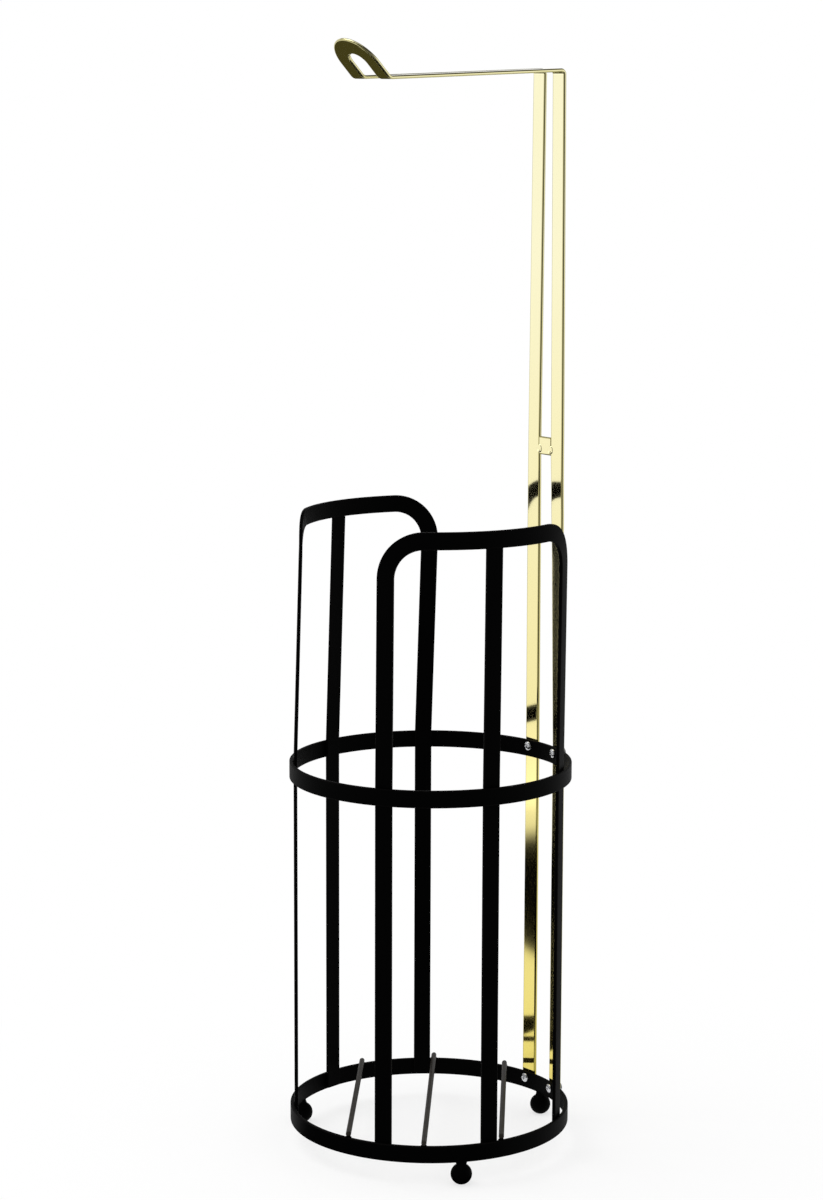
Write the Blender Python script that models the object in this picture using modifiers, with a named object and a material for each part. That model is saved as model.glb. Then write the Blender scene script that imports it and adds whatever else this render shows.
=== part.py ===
"""Freestanding toilet roll holder.

A round basket of black flat bar stands on three ball feet and keeps the spare rolls.
Behind it a brass hairpin of the same bar rises, turns forward as an arm and ends in a raised loop.
The roll in use hangs on the arm.

Lengths are in metres and angles in degrees. +Z is up, and the arm points to the front, which is -Y.
"""

from math import asin, cos, pi, radians, sin, sqrt, tan

import bmesh
import bpy
from mathutils import Matrix, Vector

# Flat bar: the basket's, and the wider one of the stand, of the same thickness
BAR_WIDTH = 0.0097
STAND_BAR_WIDTH = 0.0106
BAR_THICKNESS = 0.0020
BAR_EDGE_ROUND = 0.0003
STAND_EDGE_ROUND = 0.0005

# Points of a turned profile that are nearer than this become one
MERGE_DISTANCE = 0.00001

# Clearances between pieces
WELD_GAP = 0.0003
ROD_CLEARANCE = 0.0007
HOLE_CLEARANCE = 0.0003
CUT_OVERRUN = 0.0010

# Basket. A lean is outward, above the middle ring
RING_DIAMETER = 0.1600
RING_SPACING = 0.2013
BASKET_HEIGHT = 0.3525
HOOP_TURN = 11.3
HOOP_HALF_SPAN = 45.0
HOOP_CORNER_RADIUS = 0.0265
LEFT_HOOP_LEAN = -2.2
RIGHT_HOOP_LEAN = 0.8

# Rods across the floor of the basket
ROD_DIAMETER = 0.0030
ROD_TIP_ROUND = 0.0004

# Ball feet
FOOT_BALL_DIAMETER = 0.0120
FOOT_FLAT_DIAMETER = 0.0040
FOOT_NECK_DIAMETER = 0.0070
FOOT_HEIGHT = 0.0121
FOOT_FRONT_ANGLE = 336.2
FOOT_REAR_ANGLE = 86.7
FOOT_LEFT_ANGLE = 213.2

# Stand: how far its middle and its screws are from the basket's middle plane, then the spacing
# of its two bars' centre lines, and the arm with its loop
STAND_X = 0.0014
LEFT_SCREW_REACH = 0.0085
RIGHT_SCREW_REACH = 0.0168
BRACE_PITCH = 0.0206
ARM_ROOT_PITCH = 0.0172
ARM_HEIGHT = 0.6098
ARM_REACH = 0.1233
ARM_DROOP = 1.9
ARM_BEND_RADIUS = 0.0035
LOOP_BEND_RADIUS = 0.0050
LOOP_TILT = 46.0
LOOP_STRAIGHT = 0.0112
LOOP_RADIUS = 0.0120

# Brace between the uprights, with its two weld beads
BRACE_Z = 0.3967
BRACE_HEIGHT = 0.0104
BEAD_DIAMETER = 0.0050
BEAD_RISE = 0.0012
BEAD_SINK = 0.0004
BEAD_DROP = 0.0020

# Screws and nuts
SCREW_RISE = 0.0062
SCREW_DIAMETER = 0.0029
SCREW_TIP_CHAMFER = 0.0003
HEAD_DIAMETER = 0.0052
HEAD_RIM = 0.0005
HEAD_HEIGHT = 0.0016
RECESS_LENGTH = 0.0030
RECESS_WIDTH = 0.0006
RECESS_DEPTH = 0.0009
NUT_SIDES = 6
NUT_ACROSS_FLATS = 0.0055
NUT_HEIGHT = 0.0024
SCREW_PAST_NUT = 0.0008

# How finely round forms are divided
RING_STEPS = 72
HOOP_CORNER_STEPS = 7
HOOP_TOP_STEPS = 12
TWIST_STEPS = 8
BEND_STEPS = 6
LOOP_STEPS = 12
BALL_STEPS = 8
FOOT_STEPS = 24
SCREW_STEPS = 20
DOME_STEPS = 4
ROD_RESOLUTION = 4

# Worked out from the sizes above
RIGHT_ANGLE = pi / 2
RING_RADIUS = RING_DIAMETER / 2
RING_INSIDE = RING_RADIUS - BAR_THICKNESS
UPRIGHT_RADIUS = RING_INSIDE - WELD_GAP - BAR_THICKNESS / 2
BASE_RING_Z = FOOT_HEIGHT + WELD_GAP
MID_RING_Z = BASE_RING_Z + RING_SPACING
MID_RING_TOP = MID_RING_Z + BAR_WIDTH
HOOP_TOP_Z = BASE_RING_Z + BASKET_HEIGHT
RIGHT_HOOP_ANGLE = -radians(HOOP_TURN)
LEFT_HOOP_ANGLE = pi + radians(HOOP_TURN)
BAR_HALF_ANGLE = BAR_WIDTH / 2 / UPRIGHT_RADIUS
STRIP_RADIUS = RING_RADIUS + WELD_GAP + BAR_THICKNESS / 2
LEFT_STRIP_ANGLE = -asin(LEFT_SCREW_REACH / STRIP_RADIUS)
RIGHT_STRIP_ANGLE = asin(RIGHT_SCREW_REACH / STRIP_RADIUS)
STAND_Y = STRIP_RADIUS * cos(LEFT_STRIP_ANGLE)
NUT_SEAT = STRIP_RADIUS + BAR_THICKNESS / 2 + WELD_GAP
HEAD_SEAT = RING_INSIDE - WELD_GAP
SCREW_END = NUT_SEAT + NUT_HEIGHT + SCREW_PAST_NUT
HOLE_DIAMETER = SCREW_DIAMETER + HOLE_CLEARANCE * 2
REAR_ANGLE = min(-LEFT_STRIP_ANGLE, RIGHT_STRIP_ANGLE)
REAR_Y = SCREW_END * cos(REAR_ANGLE) + SCREW_DIAMETER / 2 * sin(REAR_ANGLE)
AXIS_Y = (RING_RADIUS - REAR_Y) / 2

# The stand seen from the side: straight runs and bends of its middle plane, as (length, turn)
ARM_BEND = ARM_BEND_RADIUS - BAR_THICKNESS / 2
LOOP_BEND = LOOP_BEND_RADIUS - BAR_THICKNESS / 2
ARM_TURN = RIGHT_ANGLE + radians(ARM_DROOP)
LOOP_TURN = radians(ARM_DROOP + LOOP_TILT)
LOOP_TANGENT = LOOP_BEND * tan(LOOP_TURN / 2)
UPRIGHT_LENGTH = ARM_HEIGHT - ARM_BEND_RADIUS - BASE_RING_Z
ARM_FORWARD = ARM_REACH - ARM_BEND * (1 + sin(radians(ARM_DROOP)))
ARM_LENGTH = ARM_FORWARD / cos(radians(ARM_DROOP)) - LOOP_TANGENT
LOOP_LENGTH = LOOP_STRAIGHT + LOOP_RADIUS + STAND_BAR_WIDTH
SIDE_RUNS = (
    (UPRIGHT_LENGTH, 0),
    (ARM_BEND * ARM_TURN, -ARM_TURN),
    (ARM_LENGTH, 0),
    (LOOP_BEND * LOOP_TURN, LOOP_TURN),
    (LOOP_LENGTH, 0),
)
RINGS_END = RING_SPACING + BAR_WIDTH
BRACE_START = BRACE_Z - BRACE_HEIGHT / 2 - BASE_RING_Z
BRACE_END = BRACE_START + BRACE_HEIGHT
BEND_START = UPRIGHT_LENGTH
BEND_END = BEND_START + ARM_BEND * ARM_TURN
FOLD_START = BEND_END + ARM_LENGTH
FOLD_END = FOLD_START + LOOP_BEND * LOOP_TURN
LOOP_CENTRE = FOLD_END - LOOP_TANGENT + LOOP_STRAIGHT


def clear_scene():
    """Empties the scene, and makes the collections for the holder and for what cuts it."""
    for leftover in list(bpy.data.objects):
        bpy.data.objects.remove(leftover)
    for name in ("toilet_roll_holder", "cutters"):
        collection = bpy.data.collections.new(name)
        bpy.context.scene.collection.children.link(collection)


def make_material(name, colour, roughness, metallic):
    """A Principled material of one colour."""
    material = bpy.data.materials.new(name)
    material.use_nodes = True
    shader = material.node_tree.nodes["Principled BSDF"]
    shader.inputs["Base Color"].default_value = (*colour, 1)
    shader.inputs["Roughness"].default_value = roughness
    shader.inputs["Metallic"].default_value = metallic
    return material


def add_piece(name, data, material):
    """Puts a piece into the holder's collection, on the empty that marks the rings' axis."""
    piece = bpy.data.objects.new(name, data)
    bpy.data.collections["toilet_roll_holder"].objects.link(piece)
    piece.parent = bpy.data.objects["ring_axis"]
    if not data.materials:
        data.materials.append(None)
    piece.material_slots[0].link = "OBJECT"
    piece.material_slots[0].material = bpy.data.materials[material]
    return piece


def add_cutter(name, mesh):
    """A shape that only cuts or joins: it shows as wire and isn't rendered."""
    cutter = bpy.data.objects.new(name, mesh)
    bpy.data.collections["cutters"].objects.link(cutter)
    cutter.parent = bpy.data.objects["ring_axis"]
    cutter.hide_render = True
    cutter.display_type = "WIRE"
    return cutter


def combine(piece, other, operation):
    """Cuts the other shape from the piece, or joins it on."""
    step = piece.modifiers.new(operation.lower(), "BOOLEAN")
    step.operation = operation
    step.solver = "EXACT"
    step.object = other


def box_mesh(name, size):
    """A box about its own origin."""
    form = bmesh.new()
    bmesh.ops.create_cube(form, size=1, matrix=Matrix.Diagonal((*size, 1)))
    return finished_mesh(name, form)


def prism_mesh(name, sides, radius, length):
    """A closed cylinder or prism about its own origin, along Z."""
    form = bmesh.new()
    bmesh.ops.create_cone(
        form, cap_ends=True, segments=sides, radius1=radius, radius2=radius, depth=length
    )
    return finished_mesh(name, form)


def finished_mesh(name, form):
    """The mesh of a form that is complete."""
    mesh = bpy.data.meshes.new(name)
    form.to_mesh(mesh)
    form.free()
    return mesh


def shade_round(mesh):
    """Smooth shading that keeps the real corners sharp."""
    mesh.shade_smooth()
    mesh.set_sharp_from_angle(angle=RIGHT_ANGLE / 2)


def baked_mesh(piece):
    """The evaluated mesh of a small piece, which several objects then share. The piece itself goes."""
    graph = bpy.context.evaluated_depsgraph_get()
    mesh = bpy.data.meshes.new_from_object(piece.evaluated_get(graph))
    mesh.name = piece.name
    bpy.data.objects.remove(piece)
    shade_round(mesh)
    return mesh


def turned_piece(name, profile, steps, material, closed=False):
    """A body turned about Z. Its profile of (radius, height) runs down the outer side."""
    form = bmesh.new()
    verts = [form.verts.new((radius, 0, height)) for radius, height in profile]
    for first, second in zip(verts, verts[1:] + verts[:1] * closed):
        form.edges.new((first, second))
    piece = add_piece(name, finished_mesh(name, form), material)
    turn = piece.modifiers.new("turn", "SCREW")
    turn.steps = steps
    turn.render_steps = steps
    turn.use_merge_vertices = True
    turn.merge_threshold = MERGE_DISTANCE
    turn.use_smooth_shade = True
    return piece


def strip_mesh(name, stations, width, place, across=1):
    """The middle surface of a flat bar. place(station, offset) gives a point, offset across the bar."""
    form = bmesh.new()
    runs = len(stations) - 1
    bmesh.ops.create_grid(form, x_segments=runs, y_segments=across, size=1)
    for vert in form.verts:
        station = stations[round((vert.co.x + 1) / 2 * runs)]
        vert.co = place(station, vert.co.y * width / 2)
    return finished_mesh(name, form)


def give_thickness(piece, edge_round):
    """Turns a bar's middle surface into solid bar with rounded edges."""
    shell = piece.modifiers.new("bar thickness", "SOLIDIFY")
    shell.thickness = BAR_THICKNESS
    shell.offset = 0
    shell.use_even_offset = True
    edges = piece.modifiers.new("rounded edges", "BEVEL")
    edges.width = edge_round
    edges.segments = 1
    edges.limit_method = "ANGLE"
    edges.angle_limit = RIGHT_ANGLE / 2


def spread(start, end, steps):
    """Evenly spaced places from start to end, without the start itself."""
    return [start + (end - start) * step / steps for step in range(1, steps + 1)]


def between(table, place):
    """Values of a table at a place between two of its rows, in proportion."""
    for low, high in zip(table, table[1:]):
        if place <= high[0]:
            share = (place - low[0]) / (high[0] - low[0])
            return [a + (b - a) * share for a, b in zip(low[1:], high[1:])]
    return list(table[-1][1:])


def outward(angle, radius, height):
    """A placement on the basket's wall: its Z axis points straight out from the rings' axis."""
    direction = Vector((cos(angle), sin(angle), 0))
    turn = direction.to_track_quat("Z", "Y").to_matrix().to_4x4()
    return Matrix.Translation(direction * radius + Vector((0, 0, height))) @ turn


def make_ring(name, height):
    """A ring of flat bar standing on edge, with its edges rounded."""
    rim, inside, edge = RING_RADIUS, RING_INSIDE, BAR_EDGE_ROUND
    profile = (
        (rim - edge, BAR_WIDTH),
        (rim, BAR_WIDTH - edge),
        (rim, edge),
        (rim - edge, 0),
        (inside + edge, 0),
        (inside, edge),
        (inside, BAR_WIDTH - edge),
        (inside + edge, BAR_WIDTH),
    )
    ring = turned_piece(name, profile, RING_STEPS, "black powder coat", closed=True)
    ring.location.z = height
    return ring


def hoop_stations():
    """Centre line of a hoop laid flat: distance from its middle, height, and the bar's turn."""
    reach = UPRIGHT_RADIUS * radians(HOOP_HALF_SPAN)
    corner = HOOP_CORNER_RADIUS - BAR_WIDTH / 2
    corner_z = HOOP_TOP_Z - HOOP_CORNER_RADIUS
    half = [(reach, BASE_RING_Z, 0), (reach, MID_RING_TOP, 0), (reach, corner_z, 0)]
    for angle in spread(0, RIGHT_ANGLE, HOOP_CORNER_STEPS):
        half.append((reach - corner + corner * cos(angle), corner_z + corner * sin(angle), angle))
    top_z = HOOP_TOP_Z - BAR_WIDTH / 2
    across = spread(reach - corner, corner - reach, HOOP_TOP_STEPS)
    top = [(along, top_z, RIGHT_ANGLE) for along in across]
    other = [(-along, height, pi - angle) for along, height, angle in reversed(half)]
    return half + top + other[1:]


def hoop_point(station, offset):
    """Rolls the flat hoop onto the inside of the rings."""
    along, height, angle = station
    turn = (along + offset * cos(angle)) / UPRIGHT_RADIUS
    height += offset * sin(angle)
    return Vector((UPRIGHT_RADIUS * cos(turn), UPRIGHT_RADIUS * sin(turn), height))


def make_upright(name, stations, angle, lean):
    """A bar that stands inside the rings and leans out or in above the middle one."""
    mesh = strip_mesh(name, stations, BAR_WIDTH, hoop_point, across=2)
    for vert in mesh.vertices:
        vert.co.x += max(0, vert.co.z - MID_RING_TOP) * tan(lean)
    upright = add_piece(name, mesh, "black powder coat")
    upright.rotation_euler.z = angle
    give_thickness(upright, BAR_EDGE_ROUND)
    shade_round(mesh)


def make_side(side, angle, lean):
    """One side of the basket: a hoop, and the stave that stands in its middle under its top bar."""
    stave_top = HOOP_TOP_Z - BAR_WIDTH - WELD_GAP
    make_upright("hoop_" + side, hoop_stations(), angle, lean)
    make_upright("stave_" + side, [(0, z, 0) for z in (BASE_RING_Z, MID_RING_TOP, stave_top)], angle, lean)


def make_floor_rods():
    """Round rods across the top edge of the base ring. The middle one lies beside the left hoop's
    rear leg, and the right one beside the right stave, each with a small clearance."""
    clear = ROD_DIAMETER / 2 + ROD_CLEARANCE
    nearest = UPRIGHT_RADIUS - BAR_THICKNESS / 2
    leg_edge = LEFT_HOOP_ANGLE - radians(HOOP_HALF_SPAN) - BAR_HALF_ANGLE
    heading = leg_edge - asin(clear / nearest)
    stave_edge = RIGHT_HOOP_ANGLE + BAR_HALF_ANGLE
    spacing = (UPRIGHT_RADIUS + BAR_THICKNESS / 2) * sin(heading - stave_edge) + clear
    for name, side in (("left", 1), ("middle", 0), ("right", -1)):
        offset = spacing * side
        half_length = sqrt(RING_RADIUS**2 - (abs(offset) + ROD_DIAMETER / 2) ** 2)
        tip = 1 - ROD_TIP_ROUND / (ROD_DIAMETER / 2)
        ends = ((half_length, tip), (half_length - ROD_TIP_ROUND, 1))
        points = [(-reach, share) for reach, share in ends]
        points += [(reach, share) for reach, share in reversed(ends)]
        curve = bpy.data.curves.new("floor_rod_" + name, "CURVE")
        curve.dimensions = "3D"
        curve.bevel_depth = ROD_DIAMETER / 2
        curve.bevel_resolution = ROD_RESOLUTION
        curve.use_fill_caps = True
        line = curve.splines.new("POLY")
        line.points.add(len(points) - 1)
        for point, (reach, share) in zip(line.points, points):
            point.co = (reach, 0, 0, 1)
            point.radius = share
        rod = add_piece("floor_rod_" + name, curve, "dark steel wire")
        height = BASE_RING_Z + BAR_WIDTH + WELD_GAP + ROD_DIAMETER / 2
        rod.location = (-offset * sin(heading), offset * cos(heading), height)
        rod.rotation_euler.z = heading


def make_foot(name, angle):
    """A ball with a small flat under it and a short neck up to the ring's lower edge."""
    ball, flat, neck = FOOT_BALL_DIAMETER / 2, FOOT_FLAT_DIAMETER / 2, FOOT_NECK_DIAMETER / 2
    centre = sqrt(ball**2 - flat**2)
    neck_angle, flat_angle = asin(neck / ball), pi - asin(flat / ball)
    profile = [(0, FOOT_HEIGHT), (neck, FOOT_HEIGHT), (neck, centre + ball * cos(neck_angle))]
    for turn in spread(neck_angle, flat_angle, BALL_STEPS):
        profile.append((ball * sin(turn), centre + ball * cos(turn)))
    profile.append((0, 0))
    foot = turned_piece(name, profile, FOOT_STEPS, "black powder coat")
    middle = RING_RADIUS - BAR_THICKNESS / 2
    foot.location = (middle * cos(angle), middle * sin(angle), 0)


def side_view(path):
    """A point of the stand's middle plane seen from the side, after a length of path from its lower end."""
    y, z, heading = STAND_Y, BASE_RING_Z, RIGHT_ANGLE
    for length, turn in SIDE_RUNS:
        run = min(path, length)
        if turn:
            rate = turn / length
            y -= (sin(heading + rate * run) - sin(heading)) / rate
            z -= (cos(heading + rate * run) - cos(heading)) / rate
            heading += rate * run
        else:
            y -= run * cos(heading)
            z += run * sin(heading)
        path -= run
        if path <= 0:
            break
    return y, z


def bar_course(side):
    """One bar of the stand by the distance along it: distance from the middle, set-back and twist.
    It lies on both rings where it is screwed to them, then comes in to the brace and the arm."""
    lie = RIGHT_STRIP_ANGLE if side > 0 else LEFT_STRIP_ANGLE
    on_rings = (STRIP_RADIUS * sin(lie), STRIP_RADIUS * cos(lie) - STAND_Y, lie)
    at_brace = (STAND_X + BRACE_PITCH / 2 * side, 0, 0)
    at_root = (STAND_X + ARM_ROOT_PITCH / 2 * side, 0, 0)
    at_loop = (STAND_X + LOOP_RADIUS * side, 0, 0)
    return (
        (0, *on_rings),
        (RINGS_END, *on_rings),
        (BRACE_START, *at_brace),
        (BRACE_END, *at_brace),
        (BEND_START, *at_root),
        (BEND_END, *at_root),
        (FOLD_START, *at_loop),
        (LOOP_CENTRE, *at_loop),
    )


def stand_point(station, offset):
    """Folds the flat hairpin to its side view, with the set-back and the twist of its bars."""
    x, path, angle = station
    path += offset * sin(angle)
    set_back, twist = between(bar_course(1 if x > STAND_X else -1), path)[1:]
    y, z = side_view(path)
    reach = offset * cos(angle)
    return Vector((x + reach * cos(twist), y + set_back - reach * sin(twist), z))


def stand_stations():
    """Centre line of the hairpin laid flat, from one lower end to the other: distance from the
    middle, distance along the bar, and the bar's turn."""
    places = [0, RINGS_END]
    places += spread(RINGS_END, BRACE_START, TWIST_STEPS)
    places += [BRACE_END, BEND_START]
    places += spread(BEND_START, BEND_END, BEND_STEPS)
    places += [FOLD_START]
    places += spread(FOLD_START, FOLD_END, BEND_STEPS)
    places += [LOOP_CENTRE]
    right = [(between(bar_course(1), place)[0], place, 0) for place in places]
    left = [(between(bar_course(-1), place)[0], place, pi) for place in places]
    loop = []
    for angle in spread(0, pi, LOOP_STEPS * 2)[:-1]:
        x = STAND_X + LOOP_RADIUS * cos(angle)
        loop.append((x, LOOP_CENTRE + LOOP_RADIUS * sin(angle), angle))
    return right + loop + left[::-1]


def make_stand():
    """The hairpin: one strip from lower end to lower end, thickened."""
    mesh = strip_mesh("roll_stand", stand_stations(), STAND_BAR_WIDTH, stand_point)
    stand = add_piece("roll_stand", mesh, "plated brass")
    give_thickness(stand, STAND_EDGE_ROUND)
    shade_round(mesh)
    return stand


def make_brace():
    """The plate between the uprights and the weld bead at each end, cut clear of both bars."""
    plate = box_mesh("stand_brace", (BRACE_PITCH, BAR_THICKNESS, BRACE_HEIGHT))
    brace = add_piece("stand_brace", plate, "plated brass")
    brace.location = (STAND_X, STAND_Y, BRACE_Z)
    clear_width, clear_thickness = STAND_BAR_WIDTH + WELD_GAP * 2, BAR_THICKNESS + WELD_GAP * 2
    clear = (clear_width, clear_thickness, BRACE_HEIGHT + CUT_OVERRUN * 2)
    inner_edge = BRACE_PITCH / 2 - STAND_BAR_WIDTH / 2
    beads, bars = [], []
    for name, side in (("left", -1), ("right", 1)):
        form = bmesh.new()
        radius = BEAD_DIAMETER / 2
        shape = Matrix.Diagonal((radius, BEAD_RISE + BEAD_SINK, radius, 1))
        bmesh.ops.create_uvsphere(
            form, u_segments=SCREW_STEPS, v_segments=SCREW_STEPS // 2, radius=1, matrix=shape
        )
        bead = add_cutter("bead_" + name, finished_mesh("bead_" + name, form))
        bead_y = STAND_Y - BAR_THICKNESS / 2 + BEAD_SINK
        bead.location = (STAND_X + inner_edge * side, bead_y, BRACE_Z - BEAD_DROP)
        beads.append(bead)
        bar = add_cutter("bar_clearance_" + name, box_mesh("bar_clearance", clear))
        bar.location = (STAND_X + BRACE_PITCH / 2 * side, STAND_Y, BRACE_Z)
        bars.append(bar)
    for bead in beads:
        combine(brace, bead, "UNION")
    for bar in bars:
        combine(brace, bar, "DIFFERENCE")


def screw_mesh():
    """A round-head screw along Z, its head's seat at the origin and its cross recess below."""
    shank, head = SCREW_DIAMETER / 2, HEAD_DIAMETER / 2
    length = SCREW_END - HEAD_SEAT
    profile = [(0, length), (shank - SCREW_TIP_CHAMFER, length), (shank, length - SCREW_TIP_CHAMFER)]
    profile += [(shank, 0), (head, 0), (head, -HEAD_RIM)]
    for turn in spread(0, RIGHT_ANGLE, DOME_STEPS)[:-1]:
        profile.append((head * cos(turn), -HEAD_RIM - (HEAD_HEIGHT - HEAD_RIM) * sin(turn)))
    profile.append((0, -HEAD_HEIGHT))
    screw = turned_piece("screw", profile, SCREW_STEPS, "zinc plate")
    slots = []
    for name, turn in (("across", 0), ("down", RIGHT_ANGLE)):
        size = (RECESS_LENGTH, RECESS_WIDTH, RECESS_DEPTH + CUT_OVERRUN)
        slot = add_cutter("recess_" + name, box_mesh("recess", size))
        slot.location.z = -HEAD_HEIGHT + (RECESS_DEPTH - CUT_OVERRUN) / 2
        slot.rotation_euler.z = turn
        combine(screw, slot, "DIFFERENCE")
        slots.append(slot)
    mesh = baked_mesh(screw)
    for slot in slots:
        bpy.data.objects.remove(slot)
    return mesh


def nut_mesh():
    """A hexagon nut along Z, its seat at the origin, bored clear of the screw."""
    corner = NUT_ACROSS_FLATS / 2 / cos(pi / NUT_SIDES)
    nut = add_piece("nut", prism_mesh("nut", NUT_SIDES, corner, NUT_HEIGHT), "zinc plate")
    nut.location.z = NUT_HEIGHT / 2
    bore_length = NUT_HEIGHT + CUT_OVERRUN * 2
    bore = add_cutter("bore", prism_mesh("bore", SCREW_STEPS, HOLE_DIAMETER / 2, bore_length))
    bore.location.z = NUT_HEIGHT / 2
    combine(nut, bore, "DIFFERENCE")
    mesh = baked_mesh(nut)
    bpy.data.objects.remove(bore)
    mesh.transform(Matrix.Translation((0, 0, NUT_HEIGHT / 2)))
    return mesh


def fasten(rings, stand):
    """Screws and nuts through each ring and both bars of the stand, with their holes."""
    screw, nut = screw_mesh(), nut_mesh()
    hole_length = NUT_SEAT - HEAD_SEAT + CUT_OVERRUN * 2
    hole_middle = (NUT_SEAT + HEAD_SEAT) / 2
    for level, ring in rings.items():
        height = ring.location.z + SCREW_RISE
        for side, lie in (("left", LEFT_STRIP_ANGLE), ("right", RIGHT_STRIP_ANGLE)):
            place = level + "_" + side
            angle = RIGHT_ANGLE - lie
            head = add_piece("screw_" + place, screw, "zinc plate")
            head.matrix_basis = outward(angle, HEAD_SEAT, height)
            end = add_piece("nut_" + place, nut, "zinc plate")
            end.matrix_basis = outward(angle, NUT_SEAT, height)
            hole_form = prism_mesh("hole", SCREW_STEPS, HOLE_DIAMETER / 2, hole_length)
            hole = add_cutter("hole_" + place, hole_form)
            hole.matrix_basis = outward(angle, hole_middle, height)
            combine(ring, hole, "DIFFERENCE")
            combine(stand, hole, "DIFFERENCE")


clear_scene()
make_material("black powder coat", (0.010, 0.010, 0.011), 0.45, 0.0)
make_material("dark steel wire", (0.045, 0.043, 0.040), 0.35, 0.6)
make_material("plated brass", (0.86, 0.74, 0.38), 0.12, 1.0)
make_material("zinc plate", (0.72, 0.72, 0.72), 0.25, 1.0)

axis = bpy.data.objects.new("ring_axis", None)
bpy.data.collections["toilet_roll_holder"].objects.link(axis)
axis.location.y = AXIS_Y

rings = {"base": make_ring("base_ring", BASE_RING_Z), "mid": make_ring("mid_ring", MID_RING_Z)}
make_side("left", LEFT_HOOP_ANGLE, radians(LEFT_HOOP_LEAN))
make_side("right", RIGHT_HOOP_ANGLE, radians(RIGHT_HOOP_LEAN))
make_floor_rods()
for name, angle in (("front", FOOT_FRONT_ANGLE), ("rear", FOOT_REAR_ANGLE), ("left", FOOT_LEFT_ANGLE)):
    make_foot("foot_" + name, radians(angle))
stand = make_stand()
make_brace()
fasten(rings, stand)
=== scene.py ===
"""Freestanding toilet roll holder, dressed for the studio.

The basket of black flat bar comes first, as it is welded up, then the brass stand that is
screwed to it. Lengths are in metres, +Z is up and the arm points to the front, which is -Y.
"""

from math import asin, atan2, cos, pi, radians, sin, sqrt, tan

import bmesh
import bpy
from mathutils import Matrix, Vector


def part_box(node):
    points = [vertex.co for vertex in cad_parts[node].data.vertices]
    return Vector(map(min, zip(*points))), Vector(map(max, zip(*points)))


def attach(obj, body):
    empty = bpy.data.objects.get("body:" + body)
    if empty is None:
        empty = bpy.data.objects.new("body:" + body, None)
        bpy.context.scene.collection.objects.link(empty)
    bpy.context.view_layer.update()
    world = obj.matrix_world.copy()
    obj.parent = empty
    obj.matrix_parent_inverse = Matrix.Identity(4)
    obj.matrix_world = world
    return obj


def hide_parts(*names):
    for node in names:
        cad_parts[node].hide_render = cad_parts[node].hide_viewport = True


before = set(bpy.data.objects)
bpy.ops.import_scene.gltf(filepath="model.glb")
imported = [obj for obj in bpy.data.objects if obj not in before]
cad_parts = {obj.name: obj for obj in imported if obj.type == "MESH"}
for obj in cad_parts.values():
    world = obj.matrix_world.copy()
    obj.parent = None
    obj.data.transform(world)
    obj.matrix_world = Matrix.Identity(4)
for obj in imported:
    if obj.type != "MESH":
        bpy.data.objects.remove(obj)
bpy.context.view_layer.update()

# Rings: two bands of 2 mm mild steel flat bar, rolled on edge, butt welded and ground, then
# powder coated satin black with the rest of the basket. The lower one carries the feet and the
# floor rods, and both are drilled at the rear for the screws of the stand.
MILLIMETRE = 0.001
BAR_THICKNESS = 2.0 * MILLIMETRE
BAR_EDGE_ROUND = 0.4 * MILLIMETRE
EDGE_STEPS = 3
EDGE_MARGIN = 0.35 * MILLIMETRE
RING_STEPS = 180
HOLE_DIAMETER = 3.5 * MILLIMETRE
HOLE_LENGTH = 12 * MILLIMETRE
HOLE_STEPS = 32
CREASE_TURN = radians(40)

COAT_COLOUR = "030303"
COAT_THIN_COLOUR = "0d0b0b"
COAT_ROUGHNESS = (0.46, 0.54)
COAT_SPECULAR = 0.012
ORANGE_PEEL_SIZE = 1.2 * MILLIMETRE
ORANGE_PEEL_HEIGHT = 0.012 * MILLIMETRE
COAT_CLOUD_SIZE = 30 * MILLIMETRE

base_low, base_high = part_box("base_ring")
mid_low, mid_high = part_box("mid_ring")
BAR_WIDTH = base_high.z - base_low.z
RING_RADIUS = (base_high.x - base_low.x) / 2
RING_INSIDE = RING_RADIUS - BAR_THICKNESS
AXIS_Y = (base_low.y + base_high.y) / 2

# Each screw's axis, from its nut, as (angle about the rings' axis, height).
screw_places = {}
for name in ("base_left", "base_right", "mid_left", "mid_right"):
    low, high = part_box("nut_" + name)
    middle = (low + high) / 2
    screw_places[name] = (atan2(middle.y - AXIS_Y, middle.x), middle.z)


def linear(colour):
    """An sRGB hex colour as linear red, green, blue and alpha."""
    shares = [int(colour[place : place + 2], 16) / 255 for place in (0, 2, 4)]
    return [s / 12.92 if s <= 0.04045 else ((s + 0.055) / 1.055) ** 2.4 for s in shares] + [1]


def socket(sockets, name):
    """The input or output that has a name or an identifier."""
    return next(s for s in sockets if name in (s.identifier, s.name))


def add_node(tree, kind, settings, links):
    """Adds a node. A setting is one of its properties or the value of an input, and a link
    feeds an input from another node's output, the first one if only the node is given."""
    node = tree.nodes.new(kind)
    for name, value in settings.items():
        if hasattr(node, name):
            setattr(node, name, value)
        else:
            socket(node.inputs, name).default_value = value
    for name, source in links.items():
        output = source.outputs[0] if isinstance(source, bpy.types.Node) else source
        tree.links.new(output, socket(node.inputs, name))
    return node


def new_material(name):
    """A node material that is still empty, its tree, and the piece's own coordinates in metres."""
    material = bpy.data.materials.new(name)
    material.use_nodes = True
    tree = material.node_tree
    tree.nodes.clear()
    place = socket(add_node(tree, "ShaderNodeTexCoord", {}, {}).outputs, "Object")
    return material, tree, place


def finish_mesh(name, form):
    """The mesh of a form, with its faces pointing out, smooth in the light but crisp at corners."""
    bmesh.ops.recalc_face_normals(form, faces=form.faces)
    mesh = bpy.data.meshes.new(name)
    form.to_mesh(mesh)
    form.free()
    mesh.shade_smooth()
    mesh.set_sharp_from_angle(angle=CREASE_TURN)
    return mesh


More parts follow.
